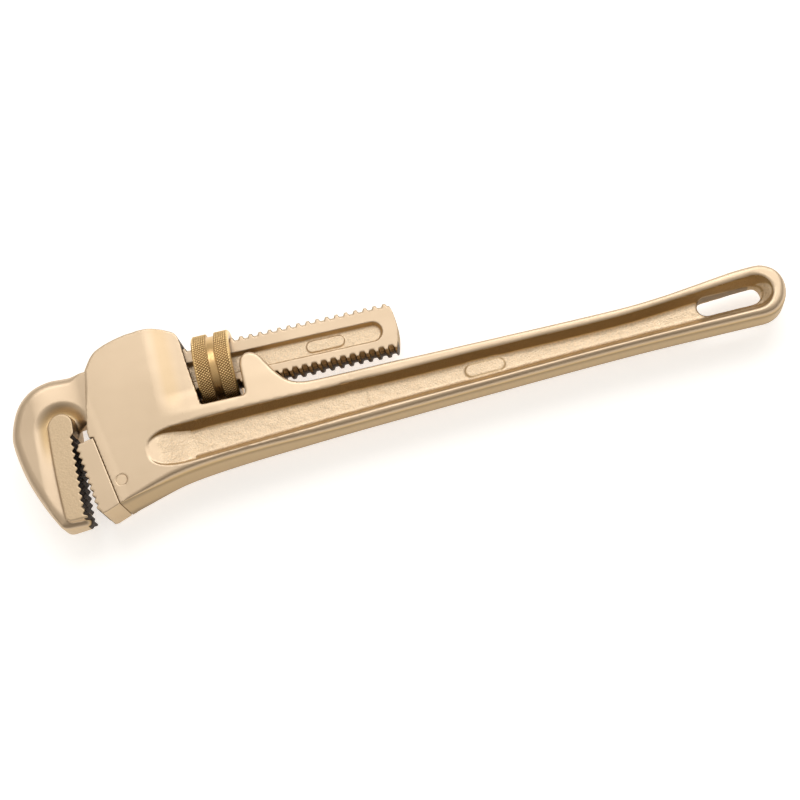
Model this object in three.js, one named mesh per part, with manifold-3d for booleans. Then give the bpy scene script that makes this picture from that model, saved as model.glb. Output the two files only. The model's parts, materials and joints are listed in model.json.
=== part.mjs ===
// Heavy-duty straight pipe wrench, 18-inch pattern, in cast bronze.
// It lies on its side: +X runs towards the handle's end, the mouth opens towards -Y, +Z is up.
// The drawing below has Z = 0 on the wrench's middle plane; the last lines move the origin
// to the middle of the bounding box, at the lowest point. All lengths are millimetres.
import * as THREE from 'three';
import { mergeVertices } from 'three/addons/utils/BufferGeometryUtils.js';
import Module from 'manifold-3d';

const wasm = await Module();
wasm.setup();

// ---- driving dimensions ----
const CLEAR = 0.35;                    // working clearance between neighbouring pieces
const HEAD_HALF = 15;                  // half thickness of the housing and heel jaw
const GRIP_HALF = 11;                  // half thickness of the handle's flanges
const HEAD_END_X = -105;               // where the head's full thickness stops
const GRIP_START_X = -20;              // where the grip's own thickness starts
const WEB_HALF = 3.5;                  // half thickness of the web along the grip
const WEB_HALF_HEAD = 7;               // half thickness of the web where it meets the head

const AXIS_X = -88.3;                  // the nut's middle, on the shank's axis
const AXIS_Y = 40.56;
const AXIS_TILT = -0.0297;             // the axis drops towards the handle's end, radians
const PITCH = 5.08;                    // five threads to the inch
const CREST_R = 14.1;
const ROOT_R = 12.6;
const CREST_FLAT = 1.45;
const FLANK = 0.7;                     // length of one thread flank along the axis
const THREAD_SIDES = 32;
const SHANK_HALF = 7.5;                // half thickness of the flat-sided shank
const SMOOTH_HALF = 12.3;              // half height of the shank's smooth stretch
const THREAD_FROM = -15;               // along the axis, from the nut's middle
const SHANK_FROM = -64;
const SHANK_TO = 96.3;
const SHANK_BULGE = 3;                 // how far the shank's free end bows out
const SHANK_RECESS = { from: -22, to: 88.5, up: 4.4, down: 6.4, depth: 3.5, run: 1.2 };
const SHANK_PAD = { from: 48, to: 68, r: 3 };

const HOOK_HALF = 12;
const HOOK_BLEND = [-172, -160];       // the hook thins to the shank between these
const HOOK_SPAN = [-210, 60];          // X range that holds the whole hook head
const BLOCK = { x: -173, topY: 27.8, r: 6.7, lowY: -20 };    // the tooth block's rounded top
const VALLEY = { width: 4.4, depth: 2.8, run: 1.9, throatY: 24 };
const NUT_R = 19;
const NUT_HALF = 9.8;
const NUT_GROOVE_R = 17.2;
const NUT_GROOVE_HALF = 2.3;
const NUT_GROOVE_WALL = 0.6;           // how far along the axis the groove's walls lean
const NUT_CHAMFER = 0.9;

const PASSAGE_HALF = 8;                // half width of the passage through the head
const PASSAGE_ROOF = CREST_R + CLEAR + 0.2;   // above the shank's axis
const FLOOR_Y = 21.5;                  // passage floor in the housing
const HUMP_FLOOR_Y = 23.5;             // passage floor between the two cheeks
const POCKET_X = [-99.6, -75.8];       // the window that the nut turns in
const POCKET_Y = 19.7;
const POCKET_CORNER = 2.2;
const REAR_BEVEL = { from: -116, ledge: -108, to: -90, ledgeHalf: 13.2, endHalf: 12.2 };
const END_X = 191.5;                   // centre of the handle's rounded end
const END_Y = 6.6;
const END_R = 13.6;
const HANG_SLOT = { from: 159.2, to: 192.8, y: 7.1, r: 4.75 };
const WALL_RUN = 3.4;                  // how far a channel wall leans in
const CHANNEL_OVERLAP = 8;             // how far the channel's two stretches run into each other
const CHANNEL_END = { x: 189.5, y: 6.5, r: 9 };   // the channel's round end, at its rim
const GRIP_PAD = { from: 36, to: 57, y: 4.6, r: 3.3 };
const PAD_HEIGHT = 0.8;                // blank raised pads in the channel and the recess

const SEAM_TOP = [-156.5, 17.1];       // joint line of the heel jaw and the handle
const SEAM_LOW = [-149.8, -20.4];
const TONGUE = { half: 5, length: 11, height: 24, root: 3 };
const PIN = { x: -146.8, y: -8.6, r: 2.5, sides: 24 };
const TOOTH_DEPTH = 1.5;

const LEAF = { from: -152, to: -106, half: 6, thick: 1, drop: 15.3, bow: 0.5, bowReach: 30 };
const COIL = { x: -140, r: 4.8, wire: 0.7, turns: 3.5, stepsPerTurn: 22 };
const COIL_POCKET = { r: 7, floorY: 15, sides: 32 };   // room for the coil to lean as the jaw rocks
const RIVET = { r: 1.6, headR: 2.7, headHeight: 1.1, faceR: 1.9, bevel: 0.45, sunk: 0.1 };

const PAST = 30;                       // how far a cutter runs past what it cuts
const BREAK = 2;                       // how far a cutter breaks into an opening beside it
const [OUTLINE_LOW, OUTLINE_HIGH] = [-60, 90];   // Y range that holds every outline

const BRONZE = { color: 0xd9c09a, roughness: 0.38, metalness: 0.85 };
const BRASS = { color: 0xa8844c, roughness: 0.4, metalness: 0.9 };
const SPRING = { color: 0xb98f5a, roughness: 0.35, metalness: 0.9 };

// ---- solids ----
// A closed indexed geometry as a solid that can be joined and cut.
function closedSolid(geometry) {
  return new wasm.Manifold(new wasm.Mesh({
    numProp: 3,
    vertProperties: new Float32Array(geometry.attributes.position.array),
    triVerts: new Uint32Array(geometry.index.array),
  }));
}

function solid(geometry) {
  const bare = geometry.clone();
  bare.deleteAttribute('normal');
  bare.deleteAttribute('uv');
  return closedSolid(mergeVertices(bare, 1e-4));
}

function geometryOf(manifold) {
  const data = manifold.getMesh();
  const geometry = new THREE.BufferGeometry();
  geometry.setAttribute('position', new THREE.BufferAttribute(data.vertProperties, 3));
  geometry.setIndex(new THREE.BufferAttribute(data.triVerts, 1));
  return geometry;
}

function meshOf(name, manifold, finish) {
  const geometry = geometryOf(manifold);
  geometry.computeVertexNormals();
  const mesh = new THREE.Mesh(geometry, new THREE.MeshStandardMaterial(finish));
  mesh.name = name;
  return mesh;
}

function polygon(points) {
  return new THREE.Shape(points.map(([x, y]) => new THREE.Vector2(x, y)));
}

// A side view given a thickness, centred on the middle plane.
function plate(shape, half, segments = 6) {
  const options = { depth: 2 * half, bevelEnabled: false, curveSegments: segments };
  return solid(new THREE.ExtrudeGeometry(shape, options).translate(0, 0, -half));
}

function block(x0, x1, y0, y1, half) {
  return plate(polygon([[x0, y0], [x1, y0], [x1, y1], [x0, y1]]), half);
}

function cylinderAlongY(x, r, y0, y1, sides) {
  const geometry = new THREE.CylinderGeometry(r, r, y1 - y0, sides);
  return solid(geometry.translate(x, (y0 + y1) / 2, 0));
}

// A plan drawn in X and Z, standing from yLow to yHigh.
function standing(points, yLow, yHigh) {
  const options = { depth: yHigh - yLow, bevelEnabled: false };
  const geometry = new THREE.ExtrudeGeometry(polygon(points), options);
  return solid(geometry.rotateX(Math.PI / 2).translate(0, yHigh, 0));
}

// Half thickness against X, mirrored about the middle plane.
function thicknessProfile(stations) {
  const under = stations.map(([x, half]) => [x, -half]);
  return standing([...under, ...[...stations].reverse()], OUTLINE_LOW, OUTLINE_HIGH);
}

function ease(t) {
  const k = Math.min(1, Math.max(0, t));
  return k * k * (3 - 2 * k);
}

function blendStations([x0, x1], [half0, half1], steps = 6) {
  return Array.from({ length: steps + 1 }, (_, i) => {
    const t = i / steps;
    return [x0 + (x1 - x0) * t, half0 + (half1 - half0) * ease(t)];
  });
}

// A recess sunk from above: the rim is as drawn, and the walls lean in to the floor.
function recess(shape, floorZ, depth, run, segments = 8, lean = new THREE.Matrix4()) {
  const geometry = new THREE.ExtrudeGeometry(shape, {
    depth: PAST, bevelEnabled: true, bevelThickness: depth, bevelSize: run, bevelOffset: -run,
    bevelSegments: 1, curveSegments: segments,
  });
  return solid(geometry.translate(0, 0, floorZ + depth).applyMatrix4(lean));
}

// A solid and its reflection in the middle plane. Reversing the index turns the faces back out.
function bothSides(upper) {
  const geometry = geometryOf(upper).scale(1, 1, -1);
  geometry.index.array.reverse();
  return upper.add(closedSolid(geometry));
}

// The shank's own frame: U along the axis from the nut's middle, V across it.
function alongAxis(manifold) {
  return closedSolid(geometryOf(manifold).rotateZ(AXIS_TILT).translate(AXIS_X, AXIS_Y, 0));
}

function axisY(x) {
  return AXIS_Y + Math.tan(AXIS_TILT) * (x - AXIS_X);
}

// A single-start right-hand screw about X, with a crest centred on X = 0 at the first side. Each
// row of the profile follows the helix, and the two ends are closed to the axis, so it is made
// longer than needed and cut to length.
function screw(from, to, rootR, crestR, crestFlat, flank) {
  const edge = crestFlat / 2;
  const rows = [
    [-edge, crestR], [edge, crestR], [edge + flank, rootR], [PITCH - edge - flank, rootR],
  ];
  const spareTurns = 2;
  const turns = Math.ceil((to - from) / PITCH) + 2 * spareTurns + 1;
  const first = Math.floor(from / PITCH) - spareTurns;
  const rowCount = turns * rows.length;
  const position = [];
  const index = [];
  for (let row = 0; row <= rowCount; row++) {
    const [shift, r] = rows[row % rows.length];
    const start = (first + Math.floor(row / rows.length)) * PITCH + shift;
    for (let side = 0; side < THREAD_SIDES; side++) {
      const angle = (side / THREAD_SIDES) * 2 * Math.PI;
      const x = start + (side / THREAD_SIDES) * PITCH;
      position.push(x, r * Math.cos(angle), r * Math.sin(angle));
    }
  }
  // Past the last side, a row goes on as the row one turn later.
  const at = (row, side) => (side < THREAD_SIDES
    ? row * THREAD_SIDES + side
    : (row + rows.length) * THREAD_SIDES);
  const lastRow = rowCount - rows.length;
  for (let row = 0; row < lastRow; row++) {
    for (let side = 0; side < THREAD_SIDES; side++) {
      const [a, b] = [at(row, side), at(row, side + 1)];
      const [c, d] = [at(row + 1, side), at(row + 1, side + 1)];
      index.push(a, b, d, a, d, c);
    }
  }
  const cap = (row, turnedOver) => {
    const centre = position.length / 3;
    position.push((first + row / rows.length + 0.5) * PITCH, 0, 0);
    const loop = Array.from({ length: THREAD_SIDES }, (_, side) => at(row, side));
    for (let step = rows.length; step > 0; step--) loop.push(at(row + step, 0));
    loop.forEach((point, i) => {
      const next = loop[(i + 1) % loop.length];
      index.push(centre, ...(turnedOver ? [point, next] : [next, point]));
    });
  };
  cap(0, false);
  cap(lastRow, true);
  const geometry = new THREE.BufferGeometry();
  geometry.setAttribute('position', new THREE.Float32BufferAttribute(position, 3));
  geometry.setIndex(index);
  return solid(geometry);
}

// A row of teeth between two points, each rising to the left of the way from one to the other.
function teeth([x0, y0], [x1, y1], count, depth) {
  const length = Math.hypot(x1 - x0, y1 - y0);
  const [nx, ny] = [-(y1 - y0) / length, (x1 - x0) / length];
  const points = [];
  for (let i = 0; i < count; i++) {
    for (const [along, rise] of [[0, 0], [0.42, 1], [0.58, 1]]) {
      const t = (i + along) / count;
      const h = rise * depth;
      points.push([x0 + (x1 - x0) * t + nx * h, y0 + (y1 - y0) * t + ny * h]);
    }
  }
  points.push([x1, y1]);
  return points;
}

function capsule(x0, x1, y, r) {
  const shape = new THREE.Shape();
  shape.absarc(x1 - r, y, r, -Math.PI / 2, Math.PI / 2);
  shape.absarc(x0 + r, y, r, Math.PI / 2, 1.5 * Math.PI);
  return shape;
}

// ---- handle, with the housing in one casting ----
function vectors(points) {
  return points.map(([x, y]) => new THREE.Vector2(x, y));
}

function handleOutline() {
  const shape = new THREE.Shape();
  shape.moveTo(...SEAM_LOW);
  shape.splineThru(vectors([
    [-130, -15.9], [-110, -12.5], [-80, -10.3], [-40, -9.3], [50, -7.2], [120, -6.1],
    [165, -6.5], [END_X, END_Y - END_R],
  ]));
  shape.absarc(END_X, END_Y, END_R, -Math.PI / 2, Math.PI / 2);
  shape.splineThru(vectors([
    [180, 19.9], [160, 17.9], [140, 16.2], [115, 15.6], [50, 17], [0, 18.3], [-36, 18.9],
    [-47, 19.7], [-53.5, 22.6], [-58.5, 28.2], [-62.3, 34.6], [-65.5, 39.4], [-70, 41.5],
    [-74, 39.8], [POCKET_X[1], 35.5],
  ]));
  shape.lineTo(POCKET_X[1], POCKET_Y + POCKET_CORNER);
  shape.quadraticCurveTo(POCKET_X[1], POCKET_Y, POCKET_X[1] - POCKET_CORNER, POCKET_Y);
  shape.lineTo(POCKET_X[0] + POCKET_CORNER, POCKET_Y);
  shape.quadraticCurveTo(POCKET_X[0], POCKET_Y, POCKET_X[0], POCKET_Y + POCKET_CORNER);
  shape.lineTo(-102.5, 47);
  shape.lineTo(-103.3, 56);
  shape.splineThru(vectors([
    [-105.5, 61.5], [-115, 66], [-125, 67], [-137, 65.4], [-148, 61.3], [-154.5, 53],
  ]));
  shape.lineTo(-159.2, 20);
  shape.lineTo(-158.8, SEAM_TOP[1]);
  shape.lineTo(...SEAM_TOP);
  return shape;
}

// The web thickens towards the head, so the channel's floor climbs there.
function headChannel() {
  const end = GRIP_START_X + CHANNEL_OVERLAP;
  const shape = new THREE.Shape();
  shape.moveTo(-131.5, 2);
  shape.splineThru(vectors([[-129, -4], [-120, -7.6], [-108, -7.9]]));
  shape.splineThru(vectors([[-60, -6], [end, -3.9]]));
  shape.lineTo(end, 12.9);
  shape.splineThru(vectors([[-60, 13], [-110, 12.3], [-124, 9.9], [-131.5, 2]]));
  const climb = (WEB_HALF_HEAD - WEB_HALF) / (GRIP_START_X - HEAD_END_X);
  const lean = new THREE.Matrix4().makeShear(0, -climb, 0, 0, 0, 0);
  lean.setPosition(0, 0, climb * GRIP_START_X);
  return recess(shape, WEB_HALF, GRIP_HALF - WEB_HALF, WALL_RUN, 4, lean);
}

function gripChannel() {
  const start = GRIP_START_X - CHANNEL_OVERLAP;
  const { x, y, r } = CHANNEL_END;
  const shape = new THREE.Shape();
  shape.moveTo(start, -4.6);
  shape.splineThru(vectors([[0, -3.9], [50, -3.4], [100, -2.6], [150, -2.4]]));
  shape.lineTo(x, y - r);
  shape.absarc(x, y, r, -Math.PI / 2, Math.PI / 2);
  shape.splineThru(vectors([
    [170, 14.4], [150, 13.1], [115, 11.6], [50, 12.4], [0, 12.7], [start, 13.3],
  ]));
  return recess(shape, WEB_HALF, GRIP_HALF - WEB_HALF, WALL_RUN, 4);
}

function blankPad({ from, to, y, r }, floorZ) {
  const root = 1;
  const geometry = new THREE.ExtrudeGeometry(capsule(from, to, y, r), {
    depth: PAD_HEIGHT + root, bevelEnabled: false, curveSegments: 6,
  });
  return solid(geometry.translate(0, 0, floorZ - root));
}

function seamAngle() {
  const [dx, dy] = [SEAM_TOP[0] - SEAM_LOW[0], SEAM_TOP[1] - SEAM_LOW[1]];
  return Math.atan2(-dx, dy);
}

// The heel jaw's tongue, or with a clearance the slot that takes it.
function tongue(gap) {
  const middle = [(SEAM_TOP[0] + SEAM_LOW[0]) / 2, (SEAM_TOP[1] + SEAM_LOW[1]) / 2];
  const high = TONGUE.height / 2 + gap;
  const bar = block(-TONGUE.root, TONGUE.length + gap, -high, high, TONGUE.half + gap);
  return closedSolid(geometryOf(bar).rotateZ(seamAngle()).translate(...middle, 0));
}

function pinSolid(r, half) {
  const shape = new THREE.Shape().absarc(PIN.x, PIN.y, r, 0, 2 * Math.PI);
  return plate(shape, half, PIN.sides / 2);
}

function passage() {
  const front = SEAM_TOP[0] - PAST / 2;
  const back = POCKET_X[0] + POCKET_CORNER;
  const inHousing = plate(polygon([
    [front, FLOOR_Y], [back, FLOOR_Y],
    [back, axisY(back) + PASSAGE_ROOF], [front, axisY(front) + PASSAGE_ROOF],
  ]), PASSAGE_HALF);
  const hump = [POCKET_X[1] - POCKET_CORNER, POCKET_X[1] + PAST];
  return inHousing.add(block(...hump, HUMP_FLOOR_Y, OUTLINE_HIGH, PASSAGE_HALF));
}

// Each side of the housing falls away behind a soft crease, above the handle.
function rearBevel() {
  const { from, ledge, to, ledgeHalf, endHalf } = REAR_BEVEL;
  const stations = [
    [from, PAST], [from, HEAD_HALF], [ledge, ledgeHalf], [to, endHalf], [to, PAST],
  ];
  return bothSides(standing(stations, POCKET_Y - BREAK, OUTLINE_HIGH));
}

function buildHandle() {
  const thickness = thicknessProfile([
    [-170, HEAD_HALF], ...blendStations([HEAD_END_X, GRIP_START_X], [HEAD_HALF, GRIP_HALF]),
    [END_X + PAST, GRIP_HALF],
  ]);
  const slot = HANG_SLOT;
  const body = plate(handleOutline(), HEAD_HALF + 1, 8).intersect(thickness)
    .subtract(rearBevel())
    .subtract(bothSides(headChannel().add(gripChannel())))
    .subtract(plate(capsule(slot.from, slot.to, slot.y, slot.r), PAST, 8))
    .subtract(passage())
    .subtract(cylinderAlongY(COIL.x, COIL_POCKET.r, COIL_POCKET.floorY, FLOOR_Y + BREAK,
      COIL_POCKET.sides))
    .subtract(tongue(CLEAR))
    .subtract(pinSolid(PIN.r + CLEAR, PAST));
  return body.add(bothSides(blankPad(GRIP_PAD, WEB_HALF)));
}

// ---- heel jaw and its pin ----
function buildHeelJaw() {
  const seamTop = [SEAM_TOP[0] - CLEAR, SEAM_TOP[1] - 0.5];
  const seamLow = [SEAM_LOW[0] - CLEAR, SEAM_LOW[1] - 0.1];
  const outline = [
    seamTop, [-165.2, 15.1], ...teeth([-165.1, 14], [-160.4, -21.5], 10, -TOOTH_DEPTH),
    [-159.6, -23.2], [-157.5, -23.1], seamLow,
  ];
  return plate(polygon(outline), HEAD_HALF)
    .add(tongue(0))
    .subtract(pinSolid(PIN.r + CLEAR, PAST));
}

function buildHeelPin() {
  return pinSolid(PIN.r, HEAD_HALF - 0.05);
}

// ---- hook jaw, with the threaded shank in one forging ----
function hookOutline() {
  const shape = new THREE.Shape();
  shape.moveTo(-150, axisY(-150) + SMOOTH_HALF);
  shape.splineThru(vectors([
    [-166.5, 54.8], [-176.6, 54.4], [-186.7, 50.6], [-194, 43.4], [-198.6, 32], [-199.1, 22.4],
    [-195.7, 5.2], [-189.7, -10.9], [-183.6, -23],
  ]));
  shape.quadraticCurveTo(-182, -25.5, -178, -25.5);
  shape.lineTo(-170, -25.5);
  shape.quadraticCurveTo(-167.6, -25.3, -167.9, -21.5);
  for (const [x, y] of teeth([-170.4, -20.4], [-169.1, 20.6], 11, -TOOTH_DEPTH)) shape.lineTo(x, y);
  shape.lineTo(-167, 22.4);
  shape.quadraticCurveTo(-165.8, 26.6, -159, 27.2);
  shape.lineTo(-150, axisY(-150) - SMOOTH_HALF);
  return shape;
}

// The tooth block stands up in a valley: these are its two edges, joined over the block's top.
function blockTop(grow) {
  const { x, topY, r, lowY } = BLOCK;
  const shape = new THREE.Shape();
  shape.moveTo(x + r + grow, grow > 0 ? VALLEY.throatY : lowY);
  shape.absarc(x, topY, r + grow, 0, Math.PI);
  shape.lineTo(x - r - grow, lowY);
  return shape;
}

function valley() {
  const outer = blockTop(VALLEY.width);
  const { x, topY, r, lowY } = BLOCK;
  outer.lineTo(x - r, lowY);
  outer.absarc(x, topY, r, Math.PI, 0, true);
  outer.lineTo(x + r, VALLEY.throatY);
  return bothSides(recess(outer, HOOK_HALF - VALLEY.depth, VALLEY.depth, VALLEY.run, 8));
}

function buildHookHead() {
  const thickness = thicknessProfile([
    [HOOK_SPAN[0], HOOK_HALF], ...blendStations(HOOK_BLEND, [HOOK_HALF, SHANK_HALF]),
    [HOOK_SPAN[1], SHANK_HALF],
  ]);
  const side = plate(hookOutline(), HOOK_HALF, 8);
  const block = side.intersect(plate(blockTop(0), HOOK_HALF, 8));
  return side.intersect(thickness).subtract(valley()).add(block);
}

function buildShank() {
  const smooth = block(SHANK_FROM, THREAD_FROM + 1, -SMOOTH_HALF, SMOOTH_HALF, SHANK_HALF);
  const tall = CREST_R + PAST;
  const end = new THREE.Shape();
  end.moveTo(THREAD_FROM, -tall);
  end.lineTo(SHANK_TO - SHANK_BULGE, -tall);
  end.lineTo(SHANK_TO - SHANK_BULGE, -CREST_R);
  end.quadraticCurveTo(SHANK_TO + SHANK_BULGE, 0, SHANK_TO - SHANK_BULGE, CREST_R);
  end.lineTo(SHANK_TO - SHANK_BULGE, tall);
  end.lineTo(THREAD_FROM, tall);
  const thread = screw(THREAD_FROM, SHANK_TO + PITCH, ROOT_R, CREST_R, CREST_FLAT, FLANK)
    .intersect(plate(end, SHANK_HALF, 8));
  const { from, to, up, down, depth, run } = SHANK_RECESS;
  const y = (up - down) / 2;
  const rim = capsule(from, to, y, (up + down) / 2);
  const pad = blankPad({ ...SHANK_PAD, y }, SHANK_HALF - depth);
  return smooth.add(thread)
    .subtract(bothSides(recess(rim, SHANK_HALF - depth, depth, run, 6)))
    .add(bothSides(pad));
}

function buildHookJaw() {
  return buildHookHead().add(alongAxis(buildShank()));
}

// ---- adjusting nut ----
function buildNut() {
  const half = NUT_HALF;
  const lip = half - NUT_CHAMFER;
  const groove = NUT_GROOVE_HALF;
  const profile = [
    [0, -half], [NUT_R - NUT_CHAMFER, -half], [NUT_R, -lip], [NUT_R, -groove],
    [NUT_GROOVE_R, NUT_GROOVE_WALL - groove], [NUT_GROOVE_R, groove - NUT_GROOVE_WALL],
    [NUT_R, groove], [NUT_R, lip],
    [NUT_R - NUT_CHAMFER, half], [0, half],
  ];
  const lathe = new THREE.LatheGeometry(vectors(profile), 48).rotateZ(-Math.PI / 2);
  const slope = FLANK / (CREST_R - ROOT_R);
  const crestFlat = CREST_FLAT + 2 * CLEAR - 2 * slope * CLEAR;
  const bore = screw(-half - 2, half + 2, ROOT_R + CLEAR, CREST_R + CLEAR, crestFlat, FLANK);
  return alongAxis(solid(lathe).subtract(bore));
}

// ---- springs under the shank, riveted together ----
function leafY(x) {
  return axisY(x) - LEAF.drop;
}

function buildLeaf() {
  const parts = 8;
  const over = Array.from({ length: parts + 1 }, (_, i) => {
    const x = LEAF.from + ((LEAF.to - LEAF.from) * i) / parts;
    return [x, leafY(x) - LEAF.bow * ((x - COIL.x) / LEAF.bowReach) ** 2];
  });
  const under = over.map(([x, y]) => [x, y - LEAF.thick]).reverse();
  const middle = leafY(COIL.x);
  const hole = cylinderAlongY(COIL.x, RIVET.r + CLEAR, middle - PAST, middle + PAST, 20);
  return plate(polygon([...over, ...under]), LEAF.half).subtract(hole);
}

class Helix extends THREE.Curve {
  constructor(x, r, low, high, turns) {
    super();
    Object.assign(this, { x, r, low, high, turns });
  }

  getPoint(t) {
    const angle = t * this.turns * 2 * Math.PI;
    const y = this.low + (this.high - this.low) * t;
    return new THREE.Vector3(this.x + this.r * Math.cos(angle), y, this.r * Math.sin(angle));
  }
}

function buildCoil() {
  const high = leafY(COIL.x) - LEAF.thick - CLEAR - COIL.wire;
  const low = COIL_POCKET.floorY + CLEAR + COIL.wire;
  const section = new THREE.Shape().absarc(0, 0, COIL.wire, 0, 2 * Math.PI);
  return solid(new THREE.ExtrudeGeometry(section, {
    extrudePath: new Helix(COIL.x, COIL.r, low, high, COIL.turns),
    steps: Math.round(COIL.stepsPerTurn * COIL.turns),
    curveSegments: 4,
  }));
}

// Its shank fills the leaf's hole, and its head holds the coil's top turn to the leaf.
function buildRivet() {
  const { r, headR, headHeight, faceR, bevel, sunk } = RIVET;
  const headTop = -LEAF.thick - CLEAR;
  const shankTop = -sunk;
  const profile = [
    [0, headTop - headHeight], [faceR, headTop - headHeight],
    [headR, headTop - bevel], [headR, headTop],
    [r, headTop], [r, shankTop], [0, shankTop],
  ];
  const lathe = new THREE.LatheGeometry(vectors(profile), 20);
  return solid(lathe.translate(COIL.x, leafY(COIL.x), 0));
}

// ---- the wrench ----
const wrench = new THREE.Group();
wrench.add(
  meshOf('handle', buildHandle(), BRONZE),
  meshOf('heel_jaw', buildHeelJaw(), BRONZE),
  meshOf('heel_jaw_pin', buildHeelPin(), BRASS),
  meshOf('hook_jaw', buildHookJaw(), BRONZE),
  meshOf('adjusting_nut', buildNut(), BRASS),
  meshOf('flat_spring', buildLeaf(), SPRING),
  meshOf('coil_spring', buildCoil(), SPRING),
  meshOf('spring_rivet', buildRivet(), BRASS),
);
const box = new THREE.Box3().setFromObject(wrench, true);
const centre = box.getCenter(new THREE.Vector3());
wrench.position.set(-centre.x, -centre.y, -box.min.z);

export default wrench;
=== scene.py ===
import json
import math

import bpy
import numpy as np
import openvdb as vdb
from mathutils import Matrix, Vector


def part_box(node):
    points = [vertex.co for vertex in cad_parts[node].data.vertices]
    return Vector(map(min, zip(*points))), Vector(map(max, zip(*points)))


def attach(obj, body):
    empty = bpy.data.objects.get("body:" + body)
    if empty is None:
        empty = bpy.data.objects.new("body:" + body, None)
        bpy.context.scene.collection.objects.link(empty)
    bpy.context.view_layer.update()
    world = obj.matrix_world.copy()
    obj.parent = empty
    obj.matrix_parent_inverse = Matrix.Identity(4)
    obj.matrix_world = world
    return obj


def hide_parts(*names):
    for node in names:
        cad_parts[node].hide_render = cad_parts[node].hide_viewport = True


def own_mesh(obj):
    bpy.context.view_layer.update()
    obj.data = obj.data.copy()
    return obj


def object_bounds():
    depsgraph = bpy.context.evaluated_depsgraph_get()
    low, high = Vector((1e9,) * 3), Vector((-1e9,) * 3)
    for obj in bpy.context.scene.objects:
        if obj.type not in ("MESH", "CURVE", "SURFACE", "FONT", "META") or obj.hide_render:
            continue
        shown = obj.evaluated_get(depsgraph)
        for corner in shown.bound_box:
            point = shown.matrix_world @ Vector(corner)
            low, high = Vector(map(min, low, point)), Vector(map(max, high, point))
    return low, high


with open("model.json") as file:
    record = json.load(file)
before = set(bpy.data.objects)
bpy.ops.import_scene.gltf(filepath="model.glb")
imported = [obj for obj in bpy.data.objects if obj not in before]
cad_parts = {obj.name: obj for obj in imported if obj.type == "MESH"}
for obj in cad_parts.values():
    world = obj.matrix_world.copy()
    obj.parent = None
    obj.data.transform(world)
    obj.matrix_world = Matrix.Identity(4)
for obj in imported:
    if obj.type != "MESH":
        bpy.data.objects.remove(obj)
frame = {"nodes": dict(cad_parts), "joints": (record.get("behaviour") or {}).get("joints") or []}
CAD_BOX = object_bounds()

MM = 0.001
JOINTS = {j["name"]: j for j in frame["joints"]}
ROCK, SPIN = JOINTS["jaw_rock"], JOINTS["nut_spin"]

# Shapes are worked out in millimetres in the drawing's frame, which the CAD model shares: its
# axes are the row's, its middle plane is z = 0, and the nut's middle is at this place.
NUT_AT = np.array((-88.3, 40.56, 0.0))
ORIGIN = np.array(SPIN["pos_m"]) - NUT_AT * MM
SHANK_AXIS = np.array(SPIN["axis"]) / np.linalg.norm(SPIN["axis"])

HEAD_HALF, GRIP_HALF, WEB_HALF = 15.0, 11.0, 3.5
HOOK_HALF, SHANK_HALF = 12.0, 7.5
CHEEK_MIDDLE = 11.0                           # between the passage and the housing's flat side
GRIP_TAPER = (-105, -20)                      # the casting thins from head to grip along here
SEAM = ((-149.8, -20.4), (-156.5, 17.1))      # joint line of the heel jaw, low end and high end
SEAM_FADE = (1.5, 6.0)                        # edges are crisp at the joint line and soft past it
SEAM_GROWTH = 0.10                            # narrows the gap at the joint line

# Roundings are given as (outside edge's radius, inside corner's fillet).
HANDLE = {"voxel": 0.5, "reach": 6.5, "rim": (0.5, 1.5), "loop": (1.2, 3.0), "loop_x": (160, 176)}
PIN = {"x": -146.8, "y": -8.6, "r": 2.5, "grown": 0.3, "hole": 0.22, "plug": 4.5, "cover": 6.5}
PASSAGE = {"x": (-150.0, -103.0), "y": 14.0}
# Every wall with a lower x and a higher y than this is painted near-black, as shade. It is meant for the
# inside of the nut's window, but it takes in the housing's outer walls as well.
WINDOW = {"x": -68, "y": 18.5}
SLOT = {"start": 155.0, "end": 186.0, "y": 7.1, "r": 4.9}

# The window's flank: it falls by two drops along x, and fades in over a stretch of y.
FLANK = {"x": (-124, -80), "y": 15, "fade": (17, 30), "round": 0.6,
         "drops": ((1.8, -122, -106), (1.0, -108, -90))}
# The channel's end by the slot, and its rounded end at the head.
CLIMB = {"x": (189, 201), "from": 188, "round": 1.2}
BOWL = {"x": -112.0, "y": 2.2, "long": 19.2, "wide": 10.3, "power": 2.4, "draft": 0.35,
        "slope": 0.0412, "from": -20, "rise": (106, 134), "fill": 12, "blend": 4, "y_range": (-14, 16)}
FLOOR_STEEPNESS = 0.8                         # scales heights over a sloping floor to distances
ROLLED = {"least": 0.7, "most": 2.9, "head_x": (-154, -118), "grip_x": (-100, -60)}

# The hook's tooth block, its valley, and the stretch over which the hook thins to its shank.
# "edge" is the hook's outer rounding and how much of that is lost by the time it meets the shank.
HOOK = {"voxel": 0.34, "reach": 8.0, "edge": (5.5, 4.9), "edge_x": (-166, -157)}
BLOCK = {"x": -173.0, "half": 6.7, "low": -22.6, "high": 27.8, "low_r": 3.2}
VALLEY = {"depth": 3.1, "shallow": 1.3, "flat": 0.8, "reach": 7.5}
NECK = (-186.0, -160.0)
NECK_CUT = -156.0
# The shank's painted shade starts here with a hard edge. Along its axis, from the nut's middle.
SHANK_FROM = -30

# Rim of the handle's channel: place along the handle, lower edge, upper edge.
CHANNEL_X = (-131, -125, -115, -100, -50, 40, 100, 150, 190, 200)
CHANNEL_LOW = (2, -5.6, -7.9, -7.7, -5.4, -3.5, -2.6, -2.4, -2.5, 3)
CHANNEL_HIGH = (2, 9.6, 12.2, 12.6, 13.1, 12.5, 11.6, 13.1, 15.5, 12)

PAD = {"x": 46.5, "half": 7.1, "y": 4.6, "r": 3.3, "height": 0.8}   # blank raised pad

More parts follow.
